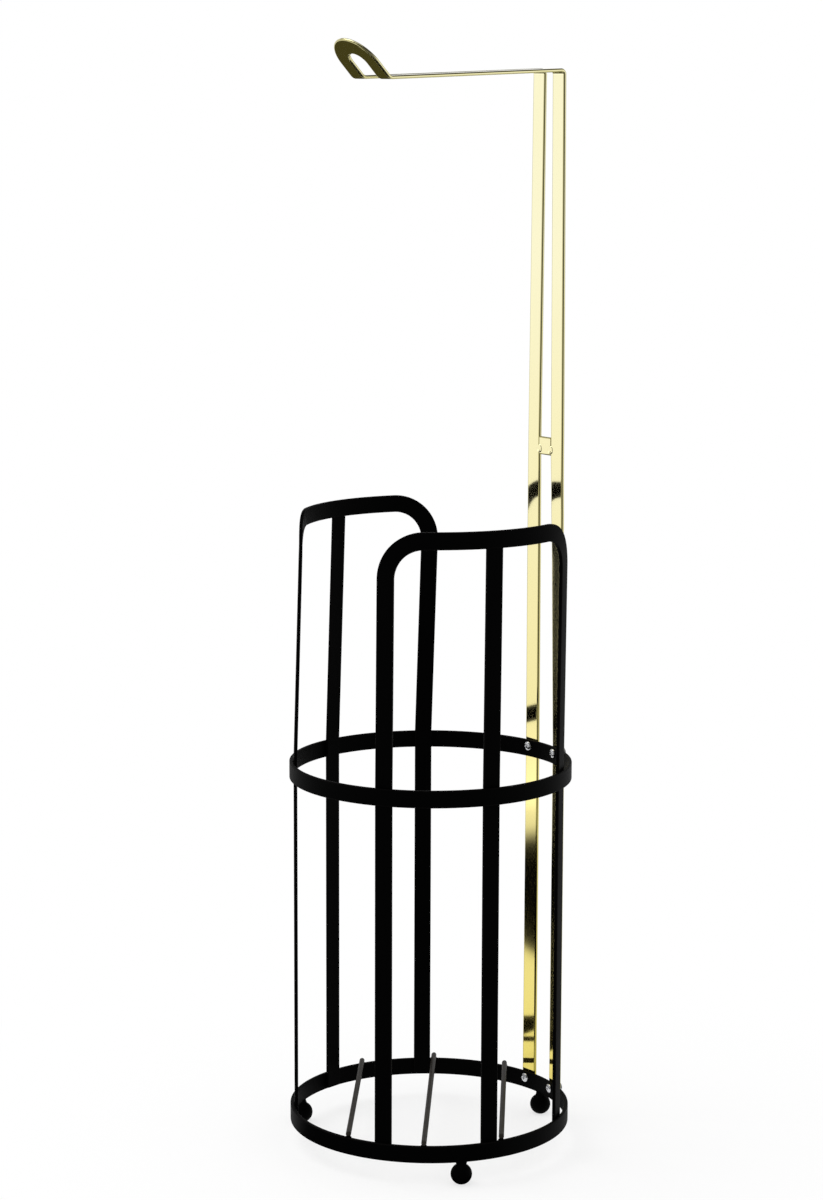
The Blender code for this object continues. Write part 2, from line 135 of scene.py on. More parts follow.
def put_piece(name, mesh, material, slot, *nodes):
    """Adds a finished piece to the holder, in place of its plain solids."""
    piece = bpy.data.objects.new(name, mesh)
    bpy.context.scene.collection.objects.link(piece)
    piece.data.materials.append(material)
    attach(piece, "root")
    if nodes:
        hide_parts(*nodes)


def bar_section(width, thickness, rounding):
    """Points around a flat bar's section: across it, proud of its middle, and 1 on an edge.
    A margin beside each round edge keeps the wide faces flat in the light."""
    points = []
    across, proud = width / 2 - rounding, thickness / 2 - rounding
    margin = min(EDGE_MARGIN, proud / 2)
    corners = ((1, 1), (-1, 1), (-1, -1), (1, -1))
    for quarter, (x_side, y_side) in enumerate(corners):
        arc = [(quarter + step / EDGE_STEPS) * pi / 2 for step in range(EDGE_STEPS + 1)]
        rim = [(across * x_side + rounding * cos(a), proud * y_side + rounding * sin(a)) for a in arc]
        along, back = (0, -y_side * margin), (-x_side * margin, 0)
        first, last = (along, back) if quarter % 2 == 0 else (back, along)
        points.append((rim[0][0] + first[0], rim[0][1] + first[1], 0))
        points += [(x, y, 1) for x, y in rim]
        points.append((rim[-1][0] + last[0], rim[-1][1] + last[1], 0))
    return points


def swept_bar(name, section, stations, place, closed=False):
    """Flat bar along its stations. The last value of a station is how much the section is drawn
    in there, and place(station, across, proud) gives a point."""
    form = bmesh.new()
    edge = form.verts.layers.float.new("edge")
    half_width = max(across for across, proud, mark in section)
    half_thickness = max(proud for across, proud, mark in section)
    rows = []
    for station in stations:
        narrow, thin = 1 - station[-1] / half_width, 1 - station[-1] / half_thickness
        row = []
        for across, proud, mark in section:
            vert = form.verts.new(place(station, across * narrow, proud * thin))
            vert[edge] = mark
            row.append(vert)
        rows.append(row)
    for row, following in zip(rows, rows[1:] + rows[:1] * closed):
        for here, after in zip(range(-1, len(row) - 1), range(len(row))):
            form.faces.new((row[here], row[after], following[after], following[here]))
    if not closed:
        form.faces.new(rows[0])
        form.faces.new(rows[-1])
    return finish_mesh(name, form)


def radial_frame(angle, radius, height):
    """A place on the basket's wall whose Z axis points straight out from the rings' axis."""
    out = Vector((cos(angle), sin(angle), 0))
    turn = out.to_track_quat("Z", "Y").to_matrix().to_4x4()
    return Matrix.Translation(Vector((0, AXIS_Y, height)) + out * radius) @ turn


def carve(mesh, cutter, operation="DIFFERENCE"):
    """What is left of a mesh after another one has cut it."""
    piece = bpy.data.objects.new("carved", mesh)
    tool = bpy.data.objects.new("cutter", cutter)
    for item in (piece, tool):
        bpy.context.scene.collection.objects.link(item)
    cut = piece.modifiers.new("cut", "BOOLEAN")
    cut.object = tool
    cut.operation = operation
    graph = bpy.context.evaluated_depsgraph_get()
    carved = bpy.data.meshes.new_from_object(piece.evaluated_get(graph))
    for item in (piece, tool):
        bpy.data.objects.remove(item)
    return carved


def drilled(mesh):
    """A mesh with the screws' holes cut through it."""
    for angle, height in screw_places.values():
        form = bmesh.new()
        bmesh.ops.create_cone(
            form,
            cap_ends=True,
            segments=HOLE_STEPS,
            radius1=HOLE_DIAMETER / 2,
            radius2=HOLE_DIAMETER / 2,
            depth=HOLE_LENGTH,
            matrix=radial_frame(angle, RING_RADIUS, height),
        )
        mesh = carve(mesh, finish_mesh("drill", form))
    mesh.set_sharp_from_angle(angle=CREASE_TURN)
    return mesh


def ring_point(station, across, proud):
    """A point of a ring: the station is (angle, middle height, draw-in)."""
    radius = RING_RADIUS - BAR_THICKNESS / 2 + proud
    return Vector((radius * cos(station[0]), AXIS_Y + radius * sin(station[0]), station[1] + across))


# The coat is an even satin black with a faint orange peel. It lies thinner on the edges of the
# bar, which makes them a shade browner.
coat, tree, place = new_material("satin black powder coat")
cloud = add_node(tree, "ShaderNodeTexNoise", {"Scale": 1 / COAT_CLOUD_SIZE, "Detail": 3}, {"Vector": place})
peel = add_node(tree, "ShaderNodeTexNoise", {"Scale": 1 / ORANGE_PEEL_SIZE, "Detail": 1}, {"Vector": place})
edges = add_node(tree, "ShaderNodeAttribute", {"attribute_name": "edge"}, {})
thin = add_node(
    tree,
    "ShaderNodeMath",
    {"operation": "MULTIPLY"},
    {"Value": socket(edges.outputs, "Fac"), "Value_001": cloud},
)
shade = add_node(
    tree,
    "ShaderNodeMix",
    {"data_type": "RGBA", "A_Color": linear(COAT_COLOUR), "B_Color": linear(COAT_THIN_COLOUR)},
    {"Factor_Float": thin},
)
gloss = add_node(
    tree,
    "ShaderNodeMapRange",
    {"To Min": COAT_ROUGHNESS[0], "To Max": COAT_ROUGHNESS[1]},
    {"Value": cloud},
)
bump = add_node(
    tree, "ShaderNodeBump", {"Distance": ORANGE_PEEL_HEIGHT, "Strength": 1.0}, {"Height": peel}
)
shader = add_node(
    tree,
    "ShaderNodeBsdfPrincipled",
    {"Specular IOR Level": COAT_SPECULAR},
    {"Base Color": socket(shade.outputs, "Result_Color"), "Roughness": gloss, "Normal": bump},
)
add_node(tree, "ShaderNodeOutputMaterial", {}, {"Surface": shader})

basket_section = bar_section(BAR_WIDTH, BAR_THICKNESS, BAR_EDGE_ROUND)
for node, low in (("base_ring", base_low), ("mid_ring", mid_low)):
    turns = [2 * pi * step / RING_STEPS for step in range(RING_STEPS)]
    stations = [(turn, low.z + BAR_WIDTH / 2, 0) for turn in turns]
    band = swept_bar(node + "_band", basket_section, stations, ring_point, closed=True)
    put_piece(node + "_band", drilled(band), coat, "black_powder_coat", node)

# Hoops: the same flat bar, bent edgewise over two round corners and rolled to the inside of
# the rings. Both lean a little above the middle ring, as they came off the jig, and a straight
# stave stands under the middle of each.
HOOP_TURN = radians(11.3)
HOOP_HALF_SPAN = radians(45)
HOOP_CORNER_RADIUS = 26.5 * MILLIMETRE
HOOP_CORNER_STEPS = 28
HOOP_TOP_STEPS = 48
HOOP_LEANS = {"left": radians(-2.2), "right": radians(0.8)}
HOOP_ANGLES = {"left": pi + HOOP_TURN, "right": -HOOP_TURN}
WELD_GAP = 0.3 * MILLIMETRE
STAVE_LAP = 0.6 * MILLIMETRE
END_ROUND = 0.3 * MILLIMETRE
BEND_MARGIN = 1.0 * MILLIMETRE
LEG_RISE = 1.0 * MILLIMETRE

UPRIGHT_RADIUS = RING_INSIDE - WELD_GAP - BAR_THICKNESS / 2
UPRIGHT_BOTTOM = base_low.z
LEG_BOTTOM = UPRIGHT_BOTTOM + LEG_RISE
hoop_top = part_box("hoop_left")[1].z


def spread(start, end, steps):
    """Evenly spaced values from start to end, without the start itself."""
    return [start + (end - start) * step / steps for step in range(1, steps + 1)]


def upright_point(angle, lean):
    """The placing function of a hoop or stave: a station is (distance from the middle, height,
    the bar's turn, draw-in)."""

    def point(station, across, proud):
        along, height, turn = station[:3]
        height += across * sin(turn)
        bearing = (along + across * cos(turn)) / UPRIGHT_RADIUS
        radius = UPRIGHT_RADIUS + proud
        x = radius * cos(bearing) + max(0, height - mid_high.z) * tan(lean)
        y = radius * sin(bearing)
        return Vector((x * cos(angle) - y * sin(angle), AXIS_Y + x * sin(angle) + y * cos(angle), height))

    return point


def lower_stations(along):
    """An upright from its lower end, just above the lower ring's edge, to where it leans. Stations
    beside a bend keep the straight stretch next to it flat in the light."""
    rows = [(along, LEG_BOTTOM, 0, END_ROUND), (along, LEG_BOTTOM + END_ROUND, 0, 0)]
    return rows + [(along, mid_high.z + margin, 0, 0) for margin in (-BEND_MARGIN, 0, BEND_MARGIN)]


def hoop_stations():
    """The hoop's centre line laid flat, from one lower end to the other."""
    reach = UPRIGHT_RADIUS * HOOP_HALF_SPAN
    corner = HOOP_CORNER_RADIUS - BAR_WIDTH / 2
    corner_z = hoop_top - HOOP_CORNER_RADIUS
    half = lower_stations(reach) + [(reach, corner_z - BEND_MARGIN, 0, 0), (reach, corner_z, 0, 0)]
    for turn in spread(0, pi / 2, HOOP_CORNER_STEPS):
        half.append((reach - corner + corner * cos(turn), corner_z + corner * sin(turn), turn, 0))
    top = [
        (along, hoop_top - BAR_WIDTH / 2, pi / 2, 0)
        for along in spread(reach - corner, corner - reach, HOOP_TOP_STEPS)
    ]
    other = [(-along, height, pi - turn, drawn) for along, height, turn, drawn in reversed(half)]
    return half + top + other[1:]


for side, angle in HOOP_ANGLES.items():
    point = upright_point(angle, HOOP_LEANS[side])
    hoop = swept_bar("hoop_" + side, basket_section, hoop_stations(), point)
    put_piece("hoop_bar_" + side, hoop, coat, "black_powder_coat", "hoop_" + side)
    stave_top = hoop_top - BAR_WIDTH
    stave_rows = lower_stations(0) + [(0, stave_top, 0, 0), (0, stave_top + STAVE_LAP, 0, END_ROUND)]
    stave = swept_bar("stave_" + side, basket_section, stave_rows, point)
    put_piece("stave_bar_" + side, stave, coat, "black_powder_coat", "stave_" + side)

# Resistance welds: each upright is spot welded to the inside of both rings, which leaves a thin
# pad of fused steel in the seam, under the same black coat.
PAD_MARGIN = 1.2 * MILLIMETRE
PAD_SINK = 0.2 * MILLIMETRE


def add_box(form, size, matrix):
    """A plain block that joins a form that is under way."""
    bmesh.ops.create_cube(form, size=1, matrix=matrix @ Matrix.Diagonal((*size, 1)))


pads = bmesh.new()
pad_size = (BAR_WIDTH - 2 * PAD_MARGIN, BAR_WIDTH - 2 * PAD_MARGIN, WELD_GAP + 2 * PAD_SINK)
for angle in HOOP_ANGLES.values():
    for offset in (-HOOP_HALF_SPAN, 0, HOOP_HALF_SPAN):
        for low in (base_low, mid_low):
            seam = radial_frame(angle + offset, RING_INSIDE - WELD_GAP / 2, low.z + BAR_WIDTH / 2)
            add_box(pads, pad_size, seam)
put_piece("ring_spot_welds", finish_mesh("ring_spot_welds", pads), coat, "black_powder_coat")

# Floor rods: three lengths of drawn 3 mm steel wire that carry the lowest roll. They lie across
# the top edge of the lower ring and are tack welded there at both ends. The wire is black oxided
# and stays bare between the welds.
ROD_RADIUS = 1.5 * MILLIMETRE
ROD_CLEARANCE = 0.7 * MILLIMETRE
ROD_SIDES = 24
ROD_TIP_STEPS = 5
ROD_TIP_ROUND = 0.6 * MILLIMETRE
TACK_SIZE = (1.9 * MILLIMETRE, 3.6 * MILLIMETRE, 1.8 * MILLIMETRE)
TACK_SIDES = 20
TACK_RINGS = 12

WIRE_COLOUR = "35312c"
WIRE_DARK_COLOUR = "1c1a18"
WIRE_ROUGHNESS = 0.45
WIRE_SPECULAR = 0.04
OXIDE_CLOUD_SIZE = 9 * MILLIMETRE
DRAW_LINE_SIZE = 0.5 * MILLIMETRE
DRAW_LINE_HEIGHT = 0.01 * MILLIMETRE


def turned_form(profile, sides):
    """A closed form turned about Z from a (radius, height) profile. An end of it that lies on
    the axis is drawn to a point there, and any other end is closed flat."""
    form = bmesh.new()
    turns = [2 * pi * step / sides for step in range(sides)]
    loops = []
    for radius, height in profile:
        if radius > 0:
            loops.append([form.verts.new((radius * cos(t), radius * sin(t), height)) for t in turns])
    for loop, following in zip(loops, loops[1:]):
        for here in range(sides):
            form.faces.new((loop[here - 1], loop[here], following[here], following[here - 1]))
    for loop, (radius, height) in ((loops[0], profile[0]), (loops[-1], profile[-1])):
        if radius > 0:
            form.faces.new(loop)
            continue
        tip = form.verts.new((0, 0, height))
        for here in range(sides):
            form.faces.new((loop[here - 1], loop[here], tip))
    return form


def add_bead(form, size, centre, sides, rings):
    """A round bead of weld metal that joins a form that is under way."""
    shape = centre @ Matrix.Diagonal((*(length / 2 for length in size), 1))
    bmesh.ops.create_uvsphere(form, u_segments=sides, v_segments=rings, radius=1, matrix=shape)


# Black oxide on drawn wire is a thin matt crust, a warm dark grey that varies along its length.
wire, tree, place = new_material("black oxide on drawn steel wire")
oxide = add_node(tree, "ShaderNodeTexNoise", {"Scale": 1 / OXIDE_CLOUD_SIZE, "Detail": 4}, {"Vector": place})
shade = add_node(
    tree,
    "ShaderNodeMix",
    {"data_type": "RGBA", "A_Color": linear(WIRE_DARK_COLOUR), "B_Color": linear(WIRE_COLOUR)},
    {"Factor_Float": oxide},
)
grain = add_node(tree, "ShaderNodeTexNoise", {"Scale": 1 / DRAW_LINE_SIZE, "Detail": 2}, {"Vector": place})
bump = add_node(tree, "ShaderNodeBump", {"Distance": DRAW_LINE_HEIGHT}, {"Height": grain})
shader = add_node(
    tree,
    "ShaderNodeBsdfPrincipled",
    {"Roughness": WIRE_ROUGHNESS, "Specular IOR Level": WIRE_SPECULAR},
    {"Base Color": socket(shade.outputs, "Result_Color"), "Normal": bump},
)
add_node(tree, "ShaderNodeOutputMaterial", {}, {"Surface": shader})

rod_z = base_high.z + WELD_GAP + ROD_RADIUS
half_bar = BAR_WIDTH / 2 / UPRIGHT_RADIUS
clear = ROD_RADIUS + ROD_CLEARANCE
leg_edge = HOOP_ANGLES["left"] - HOOP_HALF_SPAN - half_bar
heading = leg_edge - asin(clear / (UPRIGHT_RADIUS - BAR_THICKNESS / 2))
stave_edge = HOOP_ANGLES["right"] + half_bar
rod_spacing = (UPRIGHT_RADIUS + BAR_THICKNESS / 2) * sin(heading - stave_edge) + clear
along_rods = Matrix.Translation((0, AXIS_Y, 0)) @ Matrix.Rotation(heading, 4, "Z")
tacks = bmesh.new()
for name, side in (("left", 1), ("middle", 0), ("right", -1)):
    offset = rod_spacing * side
    half_length = sqrt(RING_RADIUS**2 - (abs(offset) + ROD_RADIUS) ** 2)
    profile = []
    for turn in spread(0, pi / 2, ROD_TIP_STEPS):
        radius = ROD_RADIUS - ROD_TIP_ROUND * (1 - sin(turn))
        profile.append((radius, -half_length + ROD_TIP_ROUND * (1 - cos(turn))))
    profile.append((ROD_RADIUS, -half_length + ROD_TIP_ROUND + BEND_MARGIN))
    profile += [(radius, -height) for radius, height in reversed(profile)]
    form = turned_form(profile, ROD_SIDES)
    lie = along_rods @ Matrix.Translation((0, offset, rod_z)) @ Matrix.Rotation(pi / 2, 4, "Y")
    bmesh.ops.transform(form, matrix=lie, verts=form.verts)
    rod = finish_mesh("rod_wire_" + name, form)
    put_piece("rod_wire_" + name, rod, wire, "dark_wire", "floor_rod_" + name)
    reach = sqrt((RING_RADIUS - BAR_THICKNESS / 2) ** 2 - offset**2)
    for end in (-1, 1):
        spot = Matrix.Translation((reach * end, offset, base_high.z + WELD_GAP / 2))
        add_bead(tacks, TACK_SIZE, along_rods @ spot, TACK_SIDES, TACK_RINGS)
put_piece("rod_tack_welds", finish_mesh("rod_tack_welds", tacks), coat, "black_powder_coat")

# Feet: three 12 mm steel balls, each welded under the lower ring by a short flared neck and
# coated with the basket. A small flat is worn on the underside.
BALL_RADIUS = 6.0 * MILLIMETRE
FLAT_RADIUS = 2.0 * MILLIMETRE
NECK_RADIUS = 2.9 * MILLIMETRE
FLARE_RADIUS = 3.6 * MILLIMETRE
NECK_SQUEEZE = 0.45
FOOT_SIDES = 48
BALL_STEPS = 24
NECK_STEPS = 8

centre_z = sqrt(BALL_RADIUS**2 - FLAT_RADIUS**2)
neck_turn = asin(NECK_RADIUS / BALL_RADIUS)
flat_turn = pi - asin(FLAT_RADIUS / BALL_RADIUS)
waist = centre_z + BALL_RADIUS * cos(neck_turn)
neck_height = base_low.z + WELD_GAP - waist
foot_profile = []
for share in reversed(spread(0, 1, NECK_STEPS)):
    radius = NECK_RADIUS + (FLARE_RADIUS - NECK_RADIUS) * share**2
    foot_profile.append((radius, waist + neck_height * share))
for turn in [neck_turn] + spread(neck_turn, flat_turn, BALL_STEPS):
    foot_profile.append((BALL_RADIUS * sin(turn), centre_z + BALL_RADIUS * cos(turn)))

for name in ("front", "rear", "left"):
    form = turned_form(foot_profile, FOOT_SIDES)
    for vert in form.verts:
        share = max(0, (vert.co.z - waist) / neck_height)
        vert.co.x *= 1 - (1 - NECK_SQUEEZE) * share
    low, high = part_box("foot_" + name)
    middle = (low + high) / 2
    outward = atan2(middle.y - AXIS_Y, middle.x)
    seat = Matrix.Translation((middle.x, middle.y, 0)) @ Matrix.Rotation(outward, 4, "Z")
    bmesh.ops.transform(form, matrix=seat, verts=form.verts)
    foot = finish_mesh("ball_foot_" + name, form)
    put_piece("ball_foot_" + name, foot, coat, "black_powder_coat", "foot_" + name)

# Stand: one long hairpin of 10.6 x 2 mm steel flat bar. It is bent at the loop first, then folded
# up at the tip and over at the shoulder, polished and brass plated. It lies against the rear of
# both rings and comes in to the brace and the arm above them.
STAND_BAR_WIDTH = 10.6 * MILLIMETRE
STAND_EDGE_ROUND = 0.85 * MILLIMETRE
STAND_X = 1.4 * MILLIMETRE
LEFT_SCREW_REACH = 8.5 * MILLIMETRE
RIGHT_SCREW_REACH = 16.8 * MILLIMETRE
# The twist of each bar at its foot, at the middle ring, and then at each of the heights.
LEFT_TWISTS = [radians(twist) for twist in (-5.5, -3.0, -3.0, -1.4, -1.4)]
RIGHT_TWISTS = [radians(twist) for twist in (6.9, 7.0, 6.7, 2.5, 2.5)]
TWIST_HEIGHTS = (335 * MILLIMETRE, 359 * MILLIMETRE, 375 * MILLIMETRE)
STRIP_SET_BACK = 0.25 * MILLIMETRE
BRACE_PITCH = 20.6 * MILLIMETRE
ARM_ROOT_PITCH = 17.2 * MILLIMETRE
ARM_HEIGHT = 609.8 * MILLIMETRE
ARM_REACH = 123.3 * MILLIMETRE
ARM_DROOP = radians(1.9)
ARM_BEND_RADIUS = 3.5 * MILLIMETRE
LOOP_BEND_RADIUS = 5.0 * MILLIMETRE
LOOP_TILT = radians(46)
LOOP_STRAIGHT = 11.0 * MILLIMETRE
LOOP_RADIUS = 12.0 * MILLIMETRE
BRACE_HEIGHT = 10.4 * MILLIMETRE
BRACE_Z = sum(corner.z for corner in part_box("stand_brace")) / 2
TWIST_STEPS = 36
BEND_STEPS = 14
LOOP_STEPS = 64

STRIP_RADIUS = RING_RADIUS + WELD_GAP + BAR_THICKNESS / 2
LEFT_LIE = -asin(LEFT_SCREW_REACH / STRIP_RADIUS)
RIGHT_LIE = asin(RIGHT_SCREW_REACH / STRIP_RADIUS)
STAND_Y = STRIP_RADIUS * cos(LEFT_LIE)
ARM_BEND = ARM_BEND_RADIUS - BAR_THICKNESS / 2
LOOP_BEND = LOOP_BEND_RADIUS - BAR_THICKNESS / 2
ARM_TURN = pi / 2 + ARM_DROOP
LOOP_TURN = ARM_DROOP + LOOP_TILT
LOOP_TANGENT = LOOP_BEND * tan(LOOP_TURN / 2)
UPRIGHT_LENGTH = ARM_HEIGHT - ARM_BEND_RADIUS - UPRIGHT_BOTTOM
ARM_FORWARD = ARM_REACH - ARM_BEND * (1 + sin(ARM_DROOP))
ARM_LENGTH = ARM_FORWARD / cos(ARM_DROOP) - LOOP_TANGENT
# The side view as runs of (length, turn), from the lower end to past the loop.
SIDE_RUNS = (
    (UPRIGHT_LENGTH, 0),
    (ARM_BEND * ARM_TURN, -ARM_TURN),
    (ARM_LENGTH, 0),
    (LOOP_BEND * LOOP_TURN, LOOP_TURN),
    (LOOP_STRAIGHT + LOOP_RADIUS + STAND_BAR_WIDTH, 0),
)
RINGS_END = mid_high.z - UPRIGHT_BOTTOM
BRACE_START = BRACE_Z - BRACE_HEIGHT / 2 - UPRIGHT_BOTTOM
BRACE_END = BRACE_START + BRACE_HEIGHT
BEND_END = UPRIGHT_LENGTH + ARM_BEND * ARM_TURN
FOLD_START = BEND_END + ARM_LENGTH
FOLD_END = FOLD_START + LOOP_BEND * LOOP_TURN
LOOP_CENTRE = FOLD_END - LOOP_TANGENT + LOOP_STRAIGHT

# The pale colour is a painted highlight toward the top of the stand; the deep colour is the brass lower
# down.
BRASS_PAINTED_HIGHLIGHT_COLOUR = "fdf8d2"
BRASS_DEEP_COLOUR = "eedb6f"
# The edge colour and its share are a painted dark reflection along the bars' round edges.
BRASS_PAINTED_EDGE_SHADE_COLOUR = "8a8230"
PAINTED_EDGE_SHADE_SHARE = 0.7
BRASS_PAINTED_HIGHLIGHT_HEIGHT = 500 * MILLIMETRE
BRASS_DEEP_HEIGHT = 30 * MILLIMETRE
BRASS_ROUGHNESS = (0.05, 0.09)
BRASS_CLOUD_SIZE = 60 * MILLIMETRE
BRASS_CLOUD_SHARE = 0.12
POLISH_WAVE_SIZE = 14 * MILLIMETRE
POLISH_WAVE_HEIGHT = 0.006 * MILLIMETRE


def side_view(path):
    """The stand's middle plane seen from the side, a length of path from its lower end: a
    point as (y, z) and the direction that the bar runs in there."""
    y, z, heading = STAND_Y + AXIS_Y, UPRIGHT_BOTTOM, pi / 2
    for length, turn in SIDE_RUNS:
        run = min(path, length)
        if turn:
            rate = turn / length
            y -= (sin(heading + rate * run) - sin(heading)) / rate
            z -= (cos(heading + rate * run) - cos(heading)) / rate
            heading += rate * run
        else:
            y -= run * cos(heading)
            z += run * sin(heading)
        path -= run
        if path <= 0:
            break
    return y, z, heading


def bar_course(side, path):
    """One bar of the stand at a length of path: distance from the middle, set-back and twist."""
    lie, twists = (RIGHT_LIE, RIGHT_TWISTS) if side > 0 else (LEFT_LIE, LEFT_TWISTS)
    radius = STRIP_RADIUS + STRIP_SET_BACK
    on_rings = (radius * sin(lie), radius * cos(lie) - STAND_Y)
    at_brace = (STAND_X + BRACE_PITCH / 2 * side, 0)
    at_root = (STAND_X + ARM_ROOT_PITCH / 2 * side, 0, 0)
    at_loop = (STAND_X + LOOP_RADIUS * side, 0, 0)
    course = [(0, (*on_rings, twists[0])), (RINGS_END, (*on_rings, twists[1]))]
    for height, twist in zip(TWIST_HEIGHTS, twists[2:]):
        end = height - UPRIGHT_BOTTOM
        share = (end - RINGS_END) / (BRACE_START - RINGS_END)
        between = [low + (high - low) * share for low, high in zip(on_rings, at_brace)]
        course.append((end, (*between, twist)))
    course += [(BRACE_START, (*at_brace, 0)), (BRACE_END, (*at_brace, 0)), (UPRIGHT_LENGTH, at_root)]
    course += [(BEND_END, at_root), (FOLD_START, at_loop), (LOOP_CENTRE, at_loop)]
    places, rows = zip(*course)
    for index in range(1, len(places)):
        if path <= places[index]:
            share = max(0, (path - places[index - 1]) / (places[index] - places[index - 1]))
            return [low + (high - low) * share for low, high in zip(rows[index - 1], rows[index])]
    return rows[-1]


def stand_point(station, across, proud):
    """Folds the flat hairpin to its side view. A station is (distance from the middle, path,
    the bar's turn, draw-in)."""
    x, path, turn = station[:3]
    path += across * sin(turn)
    set_back, twist = bar_course(1 if x > STAND_X else -1, path)[1:]
    y, z, heading = side_view(path)
    reach, forward = across * cos(turn), -proud * sin(heading)
    x += reach * cos(twist) + forward * sin(twist)
    y += set_back - reach * sin(twist) + forward * cos(twist)
    return Vector((x, y, z - proud * cos(heading)))


def stand_stations():
    """The hairpin's centre line laid flat, from one lower end round the loop to the other."""
    places = [(0, END_ROUND), (END_ROUND, 0)]
    places += [(path, 0) for path in spread(END_ROUND, RINGS_END - BEND_MARGIN, TWIST_STEPS)]
    places += [(RINGS_END, 0)]
    places += [(path, 0) for path in spread(RINGS_END, BRACE_START, TWIST_STEPS)]
    places += [(BRACE_END, 0), (UPRIGHT_LENGTH - BEND_MARGIN, 0), (UPRIGHT_LENGTH, 0)]
    places += [(path, 0) for path in spread(UPRIGHT_LENGTH, BEND_END, BEND_STEPS)]
    places += [(BEND_END + BEND_MARGIN, 0), (FOLD_START - BEND_MARGIN, 0), (FOLD_START, 0)]
    places += [(path, 0) for path in spread(FOLD_START, FOLD_END, BEND_STEPS)]
    places += [(FOLD_END + BEND_MARGIN, 0), (LOOP_CENTRE - BEND_MARGIN, 0), (LOOP_CENTRE, 0)]
    right = [(bar_course(1, path)[0], path, 0, drawn) for path, drawn in places]
    left = [(bar_course(-1, path)[0], path, pi, drawn) for path, drawn in places]
    loop = []
    for turn in spread(0, pi, LOOP_STEPS)[:-1]:
        loop.append((STAND_X + LOOP_RADIUS * cos(turn), LOOP_CENTRE + LOOP_RADIUS * sin(turn), turn, 0))
    return right + loop + left[::-1]


# Bright brass plate over polished steel mirrors the basket and the room. Its colour is painted
# paler toward the top as a painted highlight and is deeper toward its lower end. The round edges
# are painted olive brown as a painted dark reflection, and the buffing leaves a slight wave.
brass, tree, place = new_material("polished brass plate")
cloud = add_node(tree, "ShaderNodeTexNoise", {"Scale": 1 / BRASS_CLOUD_SIZE, "Detail": 2}, {"Vector": place})
height = add_node(tree, "ShaderNodeSeparateXYZ", {}, {"Vector": place})
# Painted highlight: the share of the deep colour falls from the deep height up to the pale height.
depth = add_node(
    tree,
    "ShaderNodeMapRange",
    {"From Min": BRASS_PAINTED_HIGHLIGHT_HEIGHT, "From Max": BRASS_DEEP_HEIGHT, "To Max": 1 - BRASS_CLOUD_SHARE},
    {"Value": socket(height.outputs, "Z")},
)
tone_and_painted_highlight = add_node(
    tree,
    "ShaderNodeMath",
    {"operation": "MULTIPLY_ADD", "Value_001": BRASS_CLOUD_SHARE},
    {"Value": cloud, "Value_002": depth},
)
shade = add_node(
    tree,
    "ShaderNodeMix",
    {"data_type": "RGBA", "A_Color": linear(BRASS_PAINTED_HIGHLIGHT_COLOUR), "B_Color": linear(BRASS_DEEP_COLOUR)},
    {"Factor_Float": tone_and_painted_highlight},
)
edges = add_node(tree, "ShaderNodeAttribute", {"attribute_name": "edge"}, {})
# Painted dark reflection: the round edges are mixed toward the olive edge colour.
painted_edge_shade = add_node(
    tree,
    "ShaderNodeMath",
    {"operation": "MULTIPLY", "Value_001": PAINTED_EDGE_SHADE_SHARE},
    {"Value": socket(edges.outputs, "Fac")},
)
tinted = add_node(
    tree,
    "ShaderNodeMix",
    {"data_type": "RGBA", "B_Color": linear(BRASS_PAINTED_EDGE_SHADE_COLOUR)},
    {"Factor_Float": painted_edge_shade, "A_Color": socket(shade.outputs, "Result_Color")},
)
wave = add_node(tree, "ShaderNodeTexNoise", {"Scale": 1 / POLISH_WAVE_SIZE, "Detail": 1}, {"Vector": place})
gloss = add_node(
    tree,
    "ShaderNodeMapRange",
    {"To Min": BRASS_ROUGHNESS[0], "To Max": BRASS_ROUGHNESS[1]},
    {"Value": cloud},
)
bump = add_node(tree, "ShaderNodeBump", {"Distance": POLISH_WAVE_HEIGHT}, {"Height": wave})
shader = add_node(
    tree,
    "ShaderNodeBsdfPrincipled",
    {"Metallic": 1.0},
    {"Base Color": socket(tinted.outputs, "Result_Color"), "Roughness": gloss, "Normal": bump},
)
add_node(tree, "ShaderNodeOutputMaterial", {}, {"Surface": shader})

stand_section = bar_section(STAND_BAR_WIDTH, BAR_THICKNESS, STAND_EDGE_ROUND)
hairpin = swept_bar("hairpin_stand", stand_section, stand_stations(), stand_point)
put_piece("hairpin_stand", drilled(hairpin), brass, "brass_plate", "roll_stand")

# Brace: a small plate of the same bar between the uprights, held by one brazed bead at each end
# that laps on to the bar, and plated with them.
PLATE_ROUND = 0.7 * MILLIMETRE
BEAD_SIZE = (4.6 * MILLIMETRE, 1.7 * MILLIMETRE, 5.0 * MILLIMETRE)
BEAD_DROP = 2.0 * MILLIMETRE
BEAD_SINK = 0.2 * MILLIMETRE
BEAD_SIDES = 32
BEAD_RINGS = 20

plate_section = bar_section(BRACE_HEIGHT, BAR_THICKNESS, PLATE_ROUND)
inner_edge = BRACE_PITCH / 2 - STAND_BAR_WIDTH / 2


def plate_point(station, across, proud):
    """A point of the brace plate: the station is (distance along it, draw-in)."""
    return Vector((STAND_X + station[0], STAND_Y + AXIS_Y - proud, BRACE_Z + across))


plate = swept_bar("brace_plate", plate_section, [(-inner_edge, 0), (inner_edge, 0)], plate_point)
put_piece("brace_plate", plate, brass, "brass_plate", "stand_brace")
beads = bmesh.new()
for side in (-1, 1):
    front = STAND_Y + AXIS_Y - BAR_THICKNESS / 2 + BEAD_SINK
    centre = Matrix.Translation((STAND_X + inner_edge * side, front, BRACE_Z - BEAD_DROP))
    add_bead(beads, BEAD_SIZE, centre, BEAD_SIDES, BEAD_RINGS)
put_piece("brace_beads", finish_mesh("brace_beads", beads), brass, "brass_plate")

